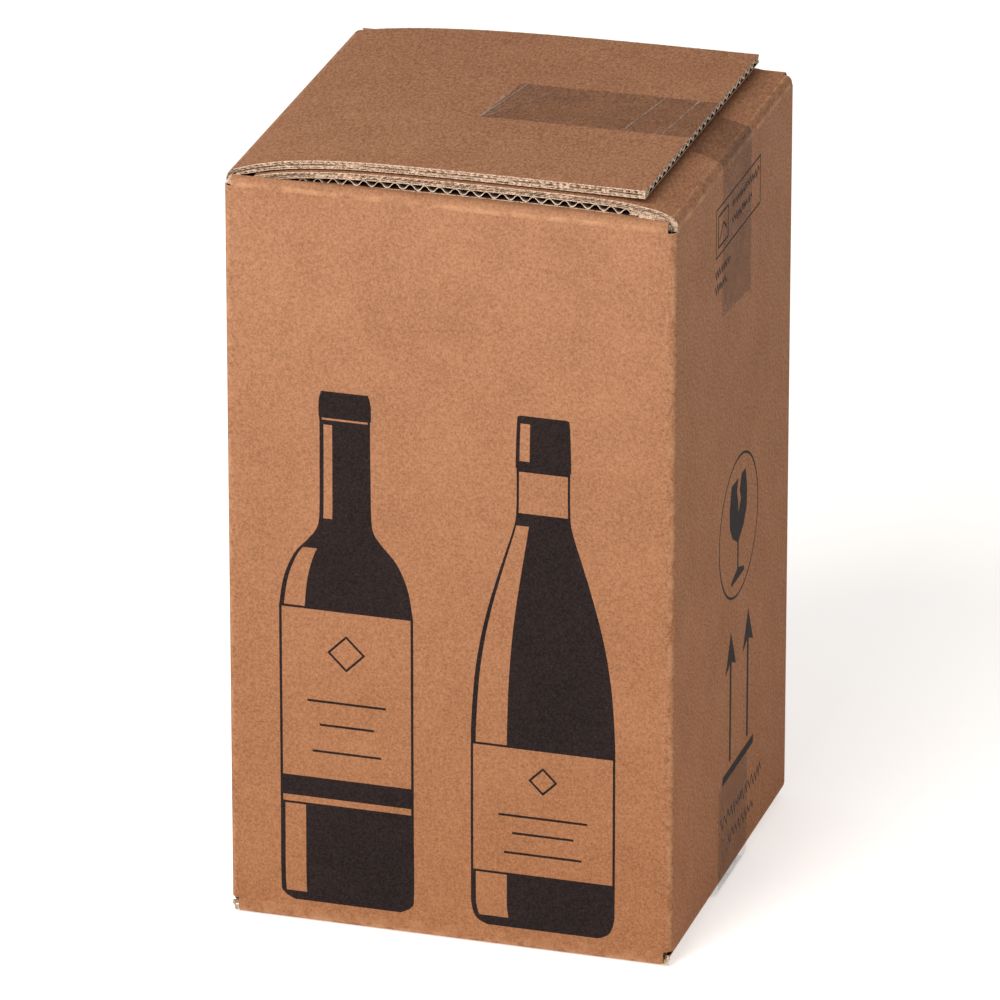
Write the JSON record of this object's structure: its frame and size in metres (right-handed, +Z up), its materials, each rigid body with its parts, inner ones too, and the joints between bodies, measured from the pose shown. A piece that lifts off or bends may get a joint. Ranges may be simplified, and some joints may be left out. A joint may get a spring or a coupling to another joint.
{
  "type": "bottle shipping box",
  "caption": "Closed kraft corrugated carton for wine bottles, full-overlap flaps taped shut, with an interlocking divider inside.",
  "frame": {"origin": "centre of the box on the floor, at the middle of its bounding box", "axes": "+Z up, +X towards the panel that the tape ends hang on, -Y out of the front panel with the bottle print"},
  "size_m": [0.2204, 0.208, 0.3929],
  "materials": {
    "kraft_board": "unbleached kraft liner, matt, with dark brown flexo print",
    "divider_board": "plain kraft, matt",
    "packing_tape": "thin brownish clear film, slightly glossy, with creases"
  },
  "bodies": {
    "root": {"carton": "kraft_board", "top_tape": "packing_tape", "bottom_tape": "packing_tape", "long_divider": "divider_board", "cross_divider": "divider_board"}
  },
  "joints": []
}
